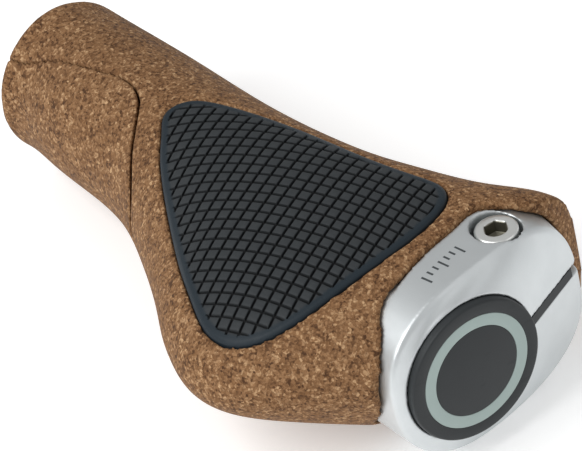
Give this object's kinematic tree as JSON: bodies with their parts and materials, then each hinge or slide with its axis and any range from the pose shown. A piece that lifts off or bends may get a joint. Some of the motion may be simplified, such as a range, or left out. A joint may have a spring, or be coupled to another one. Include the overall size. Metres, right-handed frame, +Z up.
{
  "type": "handlebar grip",
  "caption": "Ergonomic right-hand handlebar grip: cork cover with palm wing and grooved pad on a hard sleeve, closed by a split aluminium end clamp with pinch bolt and end plug.",
  "frame": {"origin": "on the handlebar's axis, at the inboard mouth of the sleeve's bore", "axes": "+X along the bar, outboard towards the end plug; +Y to the front, where the fingers close; +Z up, along the pinch bolt"},
  "size_m": [0.135, 0.0771, 0.0396],
  "materials": {
    "sleeve_plastic": "moulded, fine matt texture",
    "cork": "moulded cork granules in a rubber binder, matt",
    "pad_rubber": "matt grooved rubber with a smooth border",
    "clamp_metal": "bead blasted and clear anodised, satin",
    "bolt_steel": "bright plated, worn in the socket",
    "cap_plastic": "satin dark slate",
    "ring_plastic": "satin pale grey-green"
  },
  "bodies": {
    "grip": {"core_sleeve": "sleeve_plastic", "wing_frame": "sleeve_plastic", "cork_body": "cork", "barrel_panel": "cork", "palm_pad": "pad_rubber", "clamp_body": "clamp_metal", "slot_spacer": "cap_plastic"},
    "washer": {"bolt_washer": "bolt_steel"},
    "bolt": {"pinch_bolt": "bolt_steel"},
    "plug": {"end_cap": "cap_plastic", "cap_ring": "ring_plastic"}
  },
  "joints": [
    {"name": "bolt_rise", "type": "slide", "parent": "grip", "child": "washer", "axis": [0, 0, 1], "range_m": [0, 0.0072]},
    {"name": "bolt_turn", "type": "hinge", "parent": "washer", "child": "bolt", "pos_m": [0.1226, 0.0166, 0.012], "axis": [0, 0, 1], "range_deg": [0, 3240]},
    {"name": "plug_pull", "type": "slide", "parent": "grip", "child": "plug", "axis": [1, 0, 0], "range_m": [0, 0.008]}
  ],
  "couplings": [
    {"joint": "bolt_turn", "follows": "bolt_rise", "rad_per_m": 7854}
  ]
}
